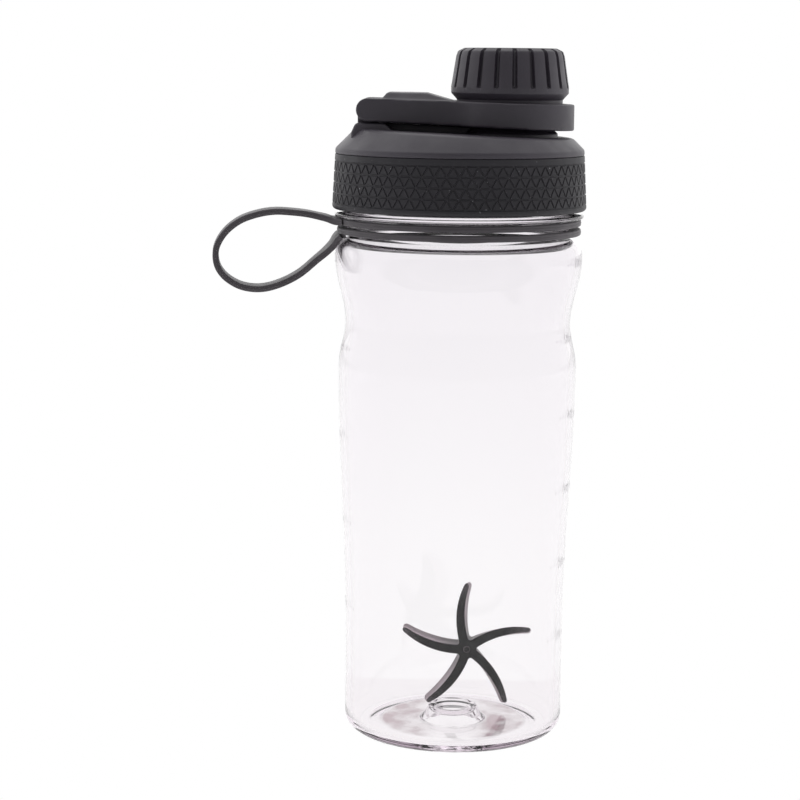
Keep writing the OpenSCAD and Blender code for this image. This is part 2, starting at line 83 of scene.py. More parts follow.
# %% [markdown]
# ## Helpers for nodes
# Every finish and the room itself are node trees. They could be wired by hand in the Shader Editor. Written
# out in Python, each node takes three or four lines, so these few helpers add a node, set its inputs, link
# it and do sums, and leave the recipes below short enough to read.

# %% Helpers for nodes
def link(tree, *pairs):
    for source, target in pairs:
        tree.links.new(source, target)


def set_inputs(node, **values):
    """Sets the inputs of a node, named with _ for a space."""
    for name, value in values.items():
        node.inputs[name.replace("_", " ")].default_value = value


def add_node(tree, kind, **values):
    node = tree.nodes.new("ShaderNode" + kind)
    set_inputs(node, **values)
    return node


def calculate(tree, operation, *terms):
    """A Math node with these sockets as its terms."""
    node = add_node(tree, "Math")
    node.operation = operation
    link(tree, *zip(terms, node.inputs))
    return node.outputs[0]


def split(tree, vector):
    """The X, Y and Z of a vector."""
    node = add_node(tree, "SeparateXYZ")
    link(tree, (vector, node.inputs[0]))
    return node.outputs


def seen_white(tree):
    """1 for what the camera sees directly or through the clear wall, 0 for the light on the pieces."""
    path = add_node(tree, "LightPath")
    return calculate(tree, "MAXIMUM", path.outputs["Is Camera Ray"], path.outputs["Is Transmission Ray"])


print("helpers: link, set_inputs, add_node, calculate, split, seen_white")

# %% [markdown]
# ## A white room
# The bottle stands in a plain white studio, where the camera's side is dimmer than the back and the sides, so
# that round dark parts get a dark middle and lighter edges. An image of a studio would do the same, but a
# plain ramp from front to back needs no file. Everything seen directly or through the clear wall is pure
# white. Light Path tells the two apart: the background can be white without more light falling on the lid.

# %% World
FRONT_LIGHT, BACK_LIGHT = 0.36, 1.5


def white_room():
    world = bpy.data.worlds.new("white_room")
    world.use_nodes = True
    tree = world.node_tree
    tree.nodes.clear()
    toward = split(tree, add_node(tree, "TexCoord").outputs["Generated"])
    from_front = add_node(tree, "MapRange", From_Min=-1, From_Max=1, To_Min=FRONT_LIGHT, To_Max=BACK_LIGHT)
    room = add_node(tree, "Background", Color=(1, 1, 1, 1))
    pure_white = add_node(tree, "Background", Color=(1, 1, 1, 1), Strength=1)
    shown = add_node(tree, "MixShader")
    link(tree, (toward["Y"], from_front.inputs["Value"]),
         (from_front.outputs["Result"], room.inputs["Strength"]),
         (seen_white(tree), shown.inputs[0]), (room.outputs[0], shown.inputs[1]),
         (pure_white.outputs[0], shown.inputs[2]),
         (shown.outputs[0], add_node(tree, "OutputWorld").inputs[0]))
    return world


bpy.context.scene.world = white_room()
print("white room, light", FRONT_LIGHT, "from the front and", BACK_LIGHT, "from the back")

# %% [markdown]
# ## The table top
# A sheet of white paper carries the bottle. Its own shading would leave a grey patch, so it is shown white,
# and light still bounces off it as off paper. Through the clear wall it is a very little darker up to a far
# edge, which shows there as a faint line.

# %% Table top
TABLE_EDGE_Y, EDGE_BLUR = 0.055, 0.002
PAPER, THROUGH_WALL = (0.9, 0.9, 0.9, 1), (0.955, 0.94, 0.947, 1)


def white_table():
    material = bpy.data.materials.new("white_table")
    material.use_nodes = True
    tree = material.node_tree
    tree.nodes.clear()
    paper = add_node(tree, "BsdfDiffuse", Color=PAPER)
    white = add_node(tree, "Emission", Color=(1, 1, 1, 1), Strength=1)
    top = add_node(tree, "Emission", Color=THROUGH_WALL, Strength=1)
    place = split(tree, add_node(tree, "NewGeometry").outputs["Position"])
    behind = add_node(tree, "MapRange", From_Min=TABLE_EDGE_Y - EDGE_BLUR, From_Max=TABLE_EDGE_Y + EDGE_BLUR)
    path = add_node(tree, "LightPath")
    through = add_node(tree, "MixShader")
    seen = add_node(tree, "MixShader")
    shown = add_node(tree, "MixShader")
    link(tree, (place["Y"], behind.inputs["Value"]),
         (behind.outputs["Result"], through.inputs[0]), (top.outputs[0], through.inputs[1]),
         (white.outputs[0], through.inputs[2]), (seen_white(tree), seen.inputs[0]),
         (paper.outputs[0], seen.inputs[1]), (through.outputs[0], seen.inputs[2]),
         (path.outputs["Is Camera Ray"], shown.inputs[0]), (seen.outputs[0], shown.inputs[1]),
         (white.outputs[0], shown.inputs[2]),
         (shown.outputs[0], add_node(tree, "OutputMaterial").inputs["Surface"]))
    return material


bpy.ops.mesh.primitive_grid_add(x_subdivisions=8, y_subdivisions=8, size=6, location=(0, 1.5, 0))
floor = bpy.context.object
floor.name = "table_top"
floor.data.materials.append(white_table())
print("table top, edge seen through the wall at", TABLE_EDGE_Y, "m behind the bottle's axis")

# %% [markdown]
# ## Lamps
# Three large soft boxes, one above and one at each side, round off the dark pieces. Point lamps would leave
# hard spots on satin plastic. The two at the sides stay out of reflections, or each would stand as a bright
# box in the glossy wall.

# %% Lamps
LAMPS_AIM_AT = Vector((0, 0, 0.16))


def soft_lamp(name, place, width, height, watts, mirrored=True):
    data = bpy.data.lights.new(name, "AREA")
    data.shape = "RECTANGLE"
    data.size = width
    data.size_y = height
    data.energy = watts
    lamp = bpy.data.objects.new(name, data)
    bpy.context.scene.collection.objects.link(lamp)
    lamp.location = place
    lamp.visible_glossy = mirrored
    lamp.visible_transmission = mirrored
    aim = LAMPS_AIM_AT - Vector(place)
    lamp.rotation_euler = aim.to_track_quat("-Z", "Y").to_euler()


soft_lamp("top_softbox", (-0.15, 0.15, 1.3), width=1.4, height=1.2, watts=3.4)
for side, across in (("left", -1.2), ("right", 1.2)):
    soft_lamp(side + "_softbox", (across, 0.25, 0.5), width=1.1, height=1.3, watts=8, mirrored=False)
print("3 soft boxes aimed at", tuple(round(v, 3) for v in LAMPS_AIM_AT))

# %% [markdown]
# ## Turned outlines
# Nearly every piece is turned on a lathe, at least in its mould. A Bezier curve could draw the outline, but
# the sizes on a maker's drawing are corners and fillets. `rounded` takes just those: a short list of corners,
# each with its own fillet, and turns it into an outline.

# %% Rounded outline
def rounded(corners, steps=5):
    """Outline from (r, z, fillet) corners, in millimetres. The first and last corners stay as they are."""
    outline = []
    for i, (r, z, fillet) in enumerate(corners):
        here = Vector((r, z))
        if fillet == 0 or i in (0, len(corners) - 1):
            outline.append(here)
            continue
        back = (Vector(corners[i - 1][:2]) - here).normalized()
        ahead = (Vector(corners[i + 1][:2]) - here).normalized()
        half = back.angle(ahead) / 2
        centre = here + (back + ahead).normalized() * fillet / math.sin(half)
        first = here + back * fillet / math.tan(half) - centre
        last = here + ahead * fillet / math.tan(half) - centre
        for k in range(steps + 1):
            outline.append(centre + first.lerp(last, k / steps).normalized() * fillet)
    return outline


print("a square corner with a 1 mm fillet becomes", len(rounded([(0, 0, 0), (9, 0, 1), (9, 9, 0)])), "points")

# %% [markdown]
# ## Skins
# A Screw modifier can spin an outline, but it can't follow a tilted deck or a fluted cap. `skin` joins any
# stack of rings into one closed mesh, and `spin` makes the rings for a plain turned piece. A ring may also be
# a single point, which closes an end. Faces are smooth, and edges sharper than the crease angle stay sharp.

# %% Skin and spin
SEGMENTS = 160


def finished(name, build, crease=40):
    mesh = bpy.data.meshes.new(name)
    build.to_mesh(mesh)
    build.free()
    mesh.shade_smooth()
    mesh.set_sharp_from_angle(angle=math.radians(crease))
    piece = bpy.data.objects.new(name, mesh)
    bpy.context.scene.collection.objects.link(piece)
    return piece


def skin(name, rings, closed=False, crease=40):
    """One mesh from rings of points in millimetres. A ring of one point closes an end."""
    build = bmesh.new()
    rows = [[build.verts.new(Vector(p) * MM) for p in ring] for ring in rings]
    pairs = list(zip(rows, rows[1:]))
    if closed:
        pairs.append((rows[-1], rows[0]))
    for low, high in pairs:
        count = max(len(low), len(high))
        for i in range(count if count > 1 else 0):
            j = (i + 1) % count
            corners = [low[i % len(low)], low[j % len(low)], high[j % len(high)], high[i % len(high)]]
            build.faces.new(list(dict.fromkeys(corners)))
    bmesh.ops.recalc_face_normals(build, faces=build.faces)
    return finished(name, build, crease)


def circle(r, z, segments=SEGMENTS, centre_x=0.0):
    if r < 1e-6:
        return [(centre_x, 0, z)]
    turns = [2 * math.pi * i / segments for i in range(segments)]
    return [(centre_x + r * math.cos(a), r * math.sin(a), z) for a in turns]


def spin(name, outline, segments=SEGMENTS, centre_x=0.0, closed=False, crease=40):
    return skin(name, [circle(r, z, segments, centre_x) for r, z in outline], closed, crease)


print("a turned piece has", SEGMENTS, "segments unless it asks for others")

# %% [markdown]
# ## Dressing a piece
# Each new mesh has to know three things: what it is made of, which moving body carries it, and which solids it
# stands for, which are then hidden. Doing it in one helper means that no piece can miss one.

# %% Dress
def dress(piece, material, body, slot, *nodes):
    """Gives a piece its material and the body it rides on, and hides the solids it stands for. The slot is not
    used.
    """
    piece.data.materials.clear()
    piece.data.materials.append(material)
    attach(piece, body)
    if nodes:
        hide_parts(*nodes)
    print(piece.name, "has", len(piece.data.polygons), "faces and rides on", body)


print("helper: dress")

# %% [markdown]
# ## Patterns for the finishes
# No real surface is quite even. Slow noise shifts a colour or a roughness, and fine noise used as a bump
# stands for the etching of the mould. The noise uses object coordinates, so it keeps still when a piece
# moves and needs no unwrapping, as an image texture would.

# %% Helpers for finishes
def new_material(name):
    material = bpy.data.materials.new(name)
    material.use_nodes = True
    tree = material.node_tree
    return material, tree, tree.nodes["Principled BSDF"], tree.nodes["Material Output"]


def noise(tree, scale, detail=2.0):
    texture = add_node(tree, "TexNoise", Scale=scale, Detail=detail)
    link(tree, (add_node(tree, "TexCoord").outputs["Object"], texture.inputs["Vector"]))
    return texture.outputs["Fac"]


def spread(tree, factor, low, high, low_at=0.3, high_at=0.7):
    """Maps a 0 to 1 factor on to a range of numbers or colours."""
    if isinstance(low, tuple):
        ramp = add_node(tree, "ValToRGB")
        for element, place, colour in zip(ramp.color_ramp.elements, (low_at, high_at), (low, high)):
            element.position = place
            element.color = (*colour, 1)
        link(tree, (factor, ramp.inputs["Fac"]))
        return ramp.outputs["Color"]
    remap = add_node(tree, "MapRange", From_Min=low_at, From_Max=high_at, To_Min=low, To_Max=high)
    link(tree, (factor, remap.inputs["Value"]))
    return remap.outputs["Result"]


def bump(tree, shader, height, distance, strength=1.0):
    node = add_node(tree, "Bump", Distance=distance, Strength=strength)
    link(tree, (height, node.inputs["Height"]), (node.outputs["Normal"], shader.inputs["Normal"]))


def between(tree, factor, first, second):
    """A colour that goes from the first to the second as the factor goes from 0 to 1."""
    mix = add_node(tree, "Mix")
    mix.data_type = "RGBA"
    link(tree, (factor, mix.inputs["Factor"]), (first, mix.inputs["A"]), (second, mix.inputs["B"]))
    return mix.outputs["Result"]


def plain_colour(tree, colour):
    node = add_node(tree, "RGB")
    node.outputs[0].default_value = (*colour, 1)
    return node.outputs[0]


print("helpers: new_material, noise, spread, bump, between, plain_colour")

# %% [markdown]
# ## The tint of the wall
# The wall is nearly white, with painted shade that darkens it a little towards the shoulder, for the shade of
# the lid above. The floor of the recess under the foot gets a painted rose tone, which stands for the
# refraction seen through the thick base there and in part for raised words on the base that are left off.
# Painting an image would need the wall unwrapped. Height and distance from the axis are enough to say where
# each tone belongs, and noise makes the recess tone cloudy.

# %% Wall tint
RECESS_TINT_R = 0.0252
# The wall's shoulder colour is painted shade from the lid. The rose is a painted tone for the refraction in the
# recess, and in part for raised words left off.
WALL_LOW, WALL_TOP_PAINTED_SHADE, RECESS_ROSE = (1, 0.998, 1), (0.962, 0.953, 0.966), (0.2, 0.11, 0.13)


def wall_tint(tree):
    place = add_node(tree, "TexCoord").outputs["Object"]
    parts = split(tree, place)
    flat = add_node(tree, "VectorMath")
    flat.operation = "MULTIPLY"
    flat.inputs[1].default_value = (1, 1, 0)
    apart = add_node(tree, "VectorMath")
    apart.operation = "LENGTH"
    link(tree, (place, flat.inputs[0]), (flat.outputs[0], apart.inputs[0]))
    from_axis = apart.outputs["Value"]
    # Painted tone: the rose on the floor of the recess stands for the refraction seen through the thick base
    # there, and in part for raised words on the base that are left off.
    low = spread(tree, parts["Z"], 1.0, 0.0, 0.0015, 0.002)
    inside = spread(tree, from_axis, 1.0, 0.0, RECESS_TINT_R - 0.002, RECESS_TINT_R)
    outside_boss = spread(tree, from_axis, 0.0, 1.0, 0.009, 0.012)
    cloudy = spread(tree, noise(tree, 110, 3), 0.35, 1.0, 0.35, 0.6)
    both_sides = spread(tree, calculate(tree, "ABSOLUTE", parts["X"]), 0.1, 1.0, 0.005, 0.012)
    painted_recess_tone = low
    for share in (inside, outside_boss, cloudy, both_sides):
        painted_recess_tone = calculate(tree, "MULTIPLY", painted_recess_tone, share)
    # Painted shade: the wall colour darkens towards the shoulder, for the shade that the lid casts on the upper
    # wall.
    wall = spread(tree, parts["Z"], WALL_LOW, WALL_TOP_PAINTED_SHADE, 0.06, 0.165)
    return between(tree, painted_recess_tone, wall, plain_colour(tree, RECESS_ROSE))


print("wall tint: rose within", round(RECESS_TINT_R * 1000, 1), "mm of the axis, under the foot")

# %% [markdown]
# ## Clear plastic
# The bottle is moulded from clear copolyester: glossy, with the faintest smoky pink in it that only shows
# where the wall is seen edge-on. A glass-like shader gives the gloss and the bending of light, and a thin
# absorbing volume gives the tint, so that it deepens with the thickness of plastic that a ray crosses, as it
# does in the real wall. The refractive index is set below the resin's 1.57 as a choice for looks: in this
# plain light the full value draws heavier lines and mirrors the star more strongly than wanted. Shadow rays
# pass straight through, because a clear bottle throws a pale shadow and not a black one.

# %% Material: clear plastic
PLASTIC_TINT, PLASTIC_DENSITY, PLASTIC_INDEX = (0.84, 0.785, 0.83, 1), 60.0, 1.34


def clear_plastic():
    material, tree, shader, out = new_material("clear_plastic")
    set_inputs(shader, Transmission_Weight=1.0, IOR=PLASTIC_INDEX)
    path = add_node(tree, "LightPath")
    passes = calculate(tree, "MAXIMUM", path.outputs["Is Shadow Ray"], path.outputs["Is Diffuse Ray"])
    choose = add_node(tree, "MixShader")
    tint = add_node(tree, "VolumeAbsorption", Color=PLASTIC_TINT, Density=PLASTIC_DENSITY)
    link(tree, (wall_tint(tree), shader.inputs["Base Color"]),
         (spread(tree, noise(tree, 35, 3), 0.002, 0.008), shader.inputs["Roughness"]),
         (passes, choose.inputs[0]), (shader.outputs[0], choose.inputs[1]),
         (add_node(tree, "BsdfTransparent").outputs[0], choose.inputs[2]),
         (choose.outputs[0], out.inputs["Surface"]), (tint.outputs[0], out.inputs["Volume"]))
    return material


CLEAR = clear_plastic()
print("clear plastic, refractive index", PLASTIC_INDEX)

# %% [markdown]
# ## The side of the bottle
# From a narrow foot the wall widens slowly, draws in to a finger waist and swells again to the shoulder. It
# could be a Bezier curve, but an outline written as a formula keeps the wall an even thickness, follows the
# solid's own curve, and tells the scale marks how far out the wall is at any height.

# %% Radius of the bottle
FOOT_R, SWELL_R, WAIST_R, SHOULDER_R = 36.4, 39.2, 37.0, 40.5
SWELL_Z, SWELL_TOP_Z, WAIST_Z, SHOULDER_Z = 33, 121, 137.5, 160


def ease(z, z0, z1, r0, r1):
    t = max(0, min(1, (z - z0) / (z1 - z0)))
    return r0 + (r1 - r0) * t * t * (3 - 2 * t)


def body_radius(z):
    if z < SWELL_TOP_Z:
        return ease(z, SWELL_Z, SWELL_TOP_Z, FOOT_R, SWELL_R)
    if z < WAIST_Z:
        return ease(z, SWELL_TOP_Z + 2, WAIST_Z, SWELL_R, WAIST_R)
    return ease(z, WAIST_Z, SHOULDER_Z - 2, WAIST_R, SHOULDER_R)


print("radius at the waist", body_radius(WAIST_Z), "mm, at the shoulder", body_radius(SHOULDER_Z), "mm")

# %% [markdown]
# ## The bottle
# One clear moulding. It stands on a narrow ring round a shallow recess, with a boss in the middle of the
# floor. Above the shoulder come the groove for the carry strap, the stop bead and the finish that takes the
# thread. One closed outline, up the outside and down the inside, gives the wall its real thickness, which
# clear plastic needs. The edges of the recess are rounded more than in the solid, to keep them soft.

# %% Bottle body
NECK_R, BEAD_R, FINISH_R, MOUTH_R = 36.3, 40.7, 37.0, 34.0
WALL, FOOT_ROUND, SHOULDER_ROUND = 2.2, 5.3, 5.4
FLOOR_Z, RECESS_R, RECESS_H = 2.8, 25.5, 1.0
NECK_Z, BEAD_Z, FINISH_Z, MOUTH_Z = 165.6, 171.75, 173.3, 189.55
BODY_STEPS, BODY_SEGMENTS = 80, 224


def arc(centre_r, centre_z, radius, start, end, steps):
    turns = [math.radians(start + (end - start) * i / steps) for i in range(steps + 1)]
    return [(centre_r + radius * math.cos(a), centre_z + radius * math.sin(a)) for a in turns]


def body_wall(z0, inset):
    heights = [z0 + (SHOULDER_Z - z0) * i / BODY_STEPS for i in range(1, BODY_STEPS)]
    return [(body_radius(z) - inset, z) for z in heights]


def bottle_outline():
    shoulder_centre = SHOULDER_R - SHOULDER_ROUND
    neck_angle = math.degrees(math.acos((NECK_R - shoulder_centre) / SHOULDER_ROUND))
    inner_foot = FOOT_ROUND - WALL
    underside = rounded([
        (0, 4.3, 0), (5.3, 4.7, 0.8), (6.4, 5.0, 0.5), (7.9, 2.2, 1.0), (9.4, RECESS_H, 0.8),
        (RECESS_R - 1.5, RECESS_H, 4.0), (RECESS_R + 2.8, 0, 4.0), (31.1, 0, 0)])
    outside = arc(FOOT_R - FOOT_ROUND, FOOT_ROUND, FOOT_ROUND, -88, 0, 12) + body_wall(FOOT_ROUND, 0)
    shoulder = arc(shoulder_centre, SHOULDER_Z, SHOULDER_ROUND, 0, neck_angle, 12)
    finish = rounded([
        (NECK_R, NECK_Z, 0), (NECK_R, BEAD_Z, 0.3), (BEAD_R, BEAD_Z, 0.7), (BEAD_R, FINISH_Z, 0.7),
        (FINISH_R, FINISH_Z, 0.6), (FINISH_R, MOUTH_Z, 0.8), (MOUTH_R, MOUTH_Z, 0.5),
        (MOUTH_R, 167.2, 0.8), (MOUTH_R + 0.5, 165.2, 0)])
    inner_shoulder = arc(shoulder_centre, SHOULDER_Z, SHOULDER_ROUND - WALL, 80, 0, 8)
    inside = list(reversed(body_wall(FLOOR_Z + inner_foot, WALL)))
    corner = arc(FOOT_R - FOOT_ROUND, FLOOR_Z + inner_foot, inner_foot, 0, -88, 8)
    boss = rounded([
        (31.0, FLOOR_Z, 0), (11.0, FLOOR_Z, 0.8), (9.4, 4.2, 0.6), (8.1, 6.9, 0.4), (7.5, 7.2, 0.3),
        (6.5, 6.4, 0.5), (0, 6.0, 0)])
    return underside + outside + shoulder + finish + inner_shoulder + inside + corner + boss


bottle = spin("clear_bottle", bottle_outline(), BODY_SEGMENTS, crease=60)
dress(bottle, CLEAR, "bottle", "bottle", "bottle")

# %% [markdown]
# ## Threads
# A screw thread is a low ridge wound round the finish, thinning to nothing at both ends so that the lid
# starts easily. A Screw modifier would end it square. Winding a small trapezium along a helix by hand lets
# the ridge fade in and out, and the same helper makes the threads of the neck, lid, spout and cap.

# %% Thread on the neck
THREAD_STEPS = 56


def thread(name, root_r, crest_r, z_start, turns, pitch, root_w, crest_w, centre_x=0.0, lead=0.12):
    build = bmesh.new()
    total = int(THREAD_STEPS * turns)
    sections = []
    for i in range(total + 1):
        t = i / total
        fade = math.sin(min(1, t / lead, (1 - t) / lead) * math.pi / 2)
        angle = 2 * math.pi * turns * t
        z = z_start + pitch * turns * t
        crest = root_r + (crest_r - root_r) * max(fade, 0.02)
        corners = [(root_r, -root_w / 2), (crest, -crest_w / 2), (crest, crest_w / 2), (root_r, root_w / 2)]
        places = [Vector((centre_x + r * math.cos(angle), r * math.sin(angle), z + up)) for r, up in corners]
        sections.append([build.verts.new(place * MM) for place in places])
    for low, high in zip(sections, sections[1:]):
        for k in range(4):
            build.faces.new([low[k], low[(k + 1) % 4], high[(k + 1) % 4], high[k]])
    build.faces.new(sections[0])
    build.faces.new(list(reversed(sections[-1])))
    bmesh.ops.recalc_face_normals(build, faces=build.faces)
    return finished(name, build, 30)


neck_thread = thread("neck_thread", root_r=FINISH_R - 0.15, crest_r=37.95, z_start=177.2, turns=2.1, pitch=4.6,
                     root_w=2.6, crest_w=1.2)
dress(neck_thread, CLEAR, "bottle", "bottle")

# %% [markdown]
# ## Raised figures
# Figures moulded into a wall stand a few hundredths of a millimetre proud and follow its curve. A Shrinkwrap
# modifier would flatten them on to it. Here Text objects give the figures, upright cuts give them points to
# bend at, and the wall's own formula then wraps them round its curve and its taper. A short line marks
# each level.

# %% Figures and ticks
MARK_H, MARK_TEXT, MARK_ROOT = 0.11, 4.0, 0.05
CUTS_EACH_SIDE = 6
TICK_W, TICK_LINE, TICK_FROM_MIDDLE = 4.0, 0.55, 9.5


def wrap_on_wall(build, azimuth, z):
    """Moves flat figures, drawn in X and Z with their height along Y, on to the bottle's wall."""
    for v in build.verts:
        across, proud, up = v.co.x, v.co.y, v.co.z
        height = z + up
        r = body_radius(height) - MARK_ROOT + proud
        angle = azimuth + across / body_radius(height)
        v.co = Vector((r * math.cos(angle), r * math.sin(angle), height)) * MM


def raised_figures(words, azimuth, z):
    data = bpy.data.curves.new("figures", "FONT")
    data.body = words
    data.size = MARK_TEXT
    data.align_x = "CENTER"
    data.align_y = "CENTER"
    data.extrude = MARK_H / 2
    data.resolution_u = 4
    holder = bpy.data.objects.new("figures", data)
    bpy.context.scene.collection.objects.link(holder)
    bpy.context.view_layer.update()
    flat = bpy.data.meshes.new_from_object(holder.evaluated_get(bpy.context.evaluated_depsgraph_get()))
    build = bmesh.new()
    build.from_mesh(flat)
    bpy.data.objects.remove(holder)
    bmesh.ops.remove_doubles(build, verts=build.verts, dist=1e-5)
    for v in build.verts:
        v.co = Vector((v.co.x, v.co.z + MARK_H / 2, v.co.y))
    for step in range(-CUTS_EACH_SIDE, CUTS_EACH_SIDE + 1):
        geometry = list(build.verts) + list(build.edges) + list(build.faces)
        bmesh.ops.bisect_plane(build, geom=geometry, plane_co=(step, 0, 0), plane_no=(1, 0, 0))
    wrap_on_wall(build, azimuth, z)
    return build


def raised_tick(azimuth, z, start):
    build = bmesh.new()
    bmesh.ops.create_grid(build, x_segments=6, y_segments=1, size=0.5)
    faces = bmesh.ops.extrude_face_region(build, geom=build.faces[:])
    for item in faces["geom"]:
        if isinstance(item, bmesh.types.BMVert):
            item.co.z += 1
    for v in build.verts:
        v.co = Vector((start + (v.co.x + 0.5) * TICK_W, v.co.z * MARK_H, v.co.y * TICK_LINE))
    wrap_on_wall(build, azimuth, z)
    return build


print("figures", MARK_TEXT, "mm tall, standing", round(MARK_H - MARK_ROOT, 2), "mm proud")

# %% [markdown]
# ## Graduation marks
# Both sides carry a scale. The steps on the left are longer than those on the right by nearly the ratio of
# 4 fluid ounces to 100 millilitres, so the right side is taken to be millilitres and the left side ounces.
# Each scale is one mesh of the same clear plastic as the wall, because the mould makes them together.

# %% Graduation marks
FIRST_ML_Z, ML_STEP = 34.2, 24.76
FIRST_OZ_Z, OZ_STEP = 43.1, 28.8


def scale_marks(name, azimuth, marks, tick_side):
    whole = bmesh.new()
    for words, z in marks:
        tick_start = tick_side * TICK_FROM_MIDDLE - TICK_W / 2
        for part in (raised_figures(words, azimuth, z), raised_tick(azimuth, z, tick_start)):
            mesh = bpy.data.meshes.new("part")
            part.to_mesh(mesh)
            part.free()
            whole.from_mesh(mesh)
            bpy.data.meshes.remove(mesh)
    bmesh.ops.recalc_face_normals(whole, faces=whole.faces)
    return finished(name, whole, 30)


ml_marks = [("%d ml" % (100 * (i + 1)), FIRST_ML_Z + ML_STEP * i) for i in range(6)]
oz_marks = [("%d oz" % (4 * (i + 1)), FIRST_OZ_Z + OZ_STEP * i) for i in range(5)]
right_scale = scale_marks("millilitre_marks", math.radians(-14), ml_marks, -1)
left_scale = scale_marks("ounce_marks", math.radians(187), oz_marks, 1)
for scale in (right_scale, left_scale):
    dress(scale, CLEAR, "bottle", "bottle")

# %% [markdown]
# ## Satin charcoal plastic
# The lid, the tether and the cap are moulded from charcoal polypropylene in a finely etched mould. The
# etching breaks the gloss into a soft satin. A fine noise bump stands for it, and a slower noise shifts the
# roughness and the colour a little, as handling does.

# %% Material: satin charcoal plastic
CHARCOAL_DARK, CHARCOAL_PALE = (0.0235, 0.0195, 0.0275), (0.031, 0.026, 0.036)


def satin_plastic():
    material, tree, shader, _ = new_material("satin_charcoal_plastic")
    link(tree, (spread(tree, noise(tree, 45, 4), CHARCOAL_DARK, CHARCOAL_PALE), shader.inputs["Base Color"]),
         (spread(tree, noise(tree, 160, 3), 0.42, 0.54), shader.inputs["Roughness"]))
    set_inputs(shader, IOR=1.49)
    bump(tree, shader, noise(tree, 5200, 2), 0.00002, 0.5)
    return material


SATIN = satin_plastic()
print("satin charcoal plastic made")

# %% [markdown]
# ## The lid shell
# A hard shell: an upright skirt that the grip band covers, a rounded edge, a 45 degree shoulder, and a flat
# deck that slopes down a little towards the spout. Because the deck is tilted, the line where it meets the
# shoulder is not a level circle, so each upright slice of the shell gets its own outline. The way through
# the spout is cut afterwards with a Boolean, which is how the mould's core pin makes it.

# %% Lid shell
SKIRT_R, SKIRT_BORE_R, RIM_R, WELL_R = 39.8, 38.5, 40.6, 33.6
LID_Z, SEAM_Z, SEAT_Z, CEILING_Z, DECK_Z = 174.3, 192.3, 191.95, 195.55, 199.2
DECK_TILT = math.radians(2.3)
DECK_ROUND = 2.5
SPOUT_X, SPOUT_R, SPOUT_BORE_R, SPOUT_Z = 16.0, 13.6, 11.9, 221.6
SHOULDER_SUM = RIM_R + SEAM_Z + 1.6


def lid_slice(angle):
    """Outline of the shell in the upright plane at this angle, from the deck's centre round to the ceiling."""
    slope = math.cos(angle) * math.tan(DECK_TILT)
    edge_r = (SHOULDER_SUM - DECK_Z) / (1 - slope)
    edge_z = DECK_Z - edge_r * slope
    outer = [(edge_r * part, DECK_Z - edge_r * part * slope, 0) for part in (0.001, 0.3, 0.6, 0.85)]
    outer += [(edge_r, edge_z, DECK_ROUND), (RIM_R, SHOULDER_SUM - RIM_R, 1.4), (RIM_R, SEAM_Z, 0.35)]
    outer += [(SKIRT_R, SEAM_Z, 0.2), (SKIRT_R, LID_Z + 0.3, 0.4), (SKIRT_BORE_R, LID_Z + 0.3, 0.4)]
    inner = [(SKIRT_BORE_R, SEAT_Z, 0.3), (WELL_R, SEAT_Z, 0.3), (WELL_R, CEILING_Z, 0.6), (0.03, CEILING_Z, 0)]
    return rounded(outer + inner)


def lid_rings():
    turns = [2 * math.pi * i / SEGMENTS for i in range(SEGMENTS)]
    slices = [lid_slice(angle) for angle in turns]
    rings = [[(r * math.cos(angle), r * math.sin(angle), z) for angle, (r, z) in zip(turns, row)]
             for row in zip(*slices)]
    return [[(0, 0, DECK_Z)]] + rings + [[(0, 0, CEILING_Z)]]


def cut_away(piece, tool):
    """Cuts the tool out of the piece and removes the tool."""
    modifier = piece.modifiers.new("cut", "BOOLEAN")
    modifier.operation = "DIFFERENCE"
    modifier.solver = "EXACT"
    modifier.object = tool
    bpy.context.view_layer.update()
    cut = bpy.data.meshes.new_from_object(piece.evaluated_get(bpy.context.evaluated_depsgraph_get()))
    piece.modifiers.clear()
    piece.data = cut
    bpy.data.objects.remove(tool)


lid = skin("lid_shell", lid_rings(), crease=40)
core_r, core_low, core_high = SPOUT_BORE_R + 0.8, 190, 204
core_pin = spin("core_pin", [(0, core_low), (core_r, core_low), (core_r, core_high), (0, core_high)],
                96, SPOUT_X)
cut_away(lid, core_pin)
dress(lid, SATIN, "lid", "lid", "lid_shell")

# %% [markdown]
# ## The spout
# A plain turned tube with a flared foot and a thread for the cap. It could be joined to the shell with a
# Boolean, but the moulding is one colour and the foot hides the seam, so a separate turned piece that runs a
# little way into the deck looks the same and keeps clean edges.

# %% Spout
spout = spin("spout", rounded([
    (SPOUT_BORE_R, CEILING_Z, 0), (SPOUT_R + 2.2, CEILING_Z, 0), (SPOUT_R + 2.2, 199.2, 1.0),
    (SPOUT_R, 201.0, 0.8), (SPOUT_R, SPOUT_Z, 0.6), (SPOUT_BORE_R, SPOUT_Z, 0.6),
    (SPOUT_BORE_R, CEILING_Z, 0)]), 128, SPOUT_X)
dress(spout, SATIN, "lid", "lid")
spout_thread = thread("spout_thread", root_r=SPOUT_R - 0.15, crest_r=14.5, z_start=210.2, turns=1.8, pitch=3.2,
                      root_w=1.9, crest_w=0.9, centre_x=SPOUT_X)
dress(spout_thread, SATIN, "lid", "lid")

# %% [markdown]
# ## Hinge seat, arm rest and knuckle
# Behind the spout, a low seat rises out of the deck and carries the knuckle that the hinge pin goes through.
# A narrow rest lies under the arm. All three are prisms seen from the side, extruded across the lid and
# bevelled, as a mould maker would cut them. A Bevel modifier would do as well, but bevelling once in the
# mesh leaves nothing to apply. The thread inside the skirt completes the lid.

# %% Hinge seat, arm rest and knuckle
HINGE_X, HINGE_Z = -29.8, 206.5
ARM_W, KNUCKLE_R, KNUCKLE_SKIN_R, BLOCK_W, REST_W = 26.0, 3.7, 3.4, 10.0, 12.0
PEDESTAL_Z = HINGE_Z - KNUCKLE_R - 0.5


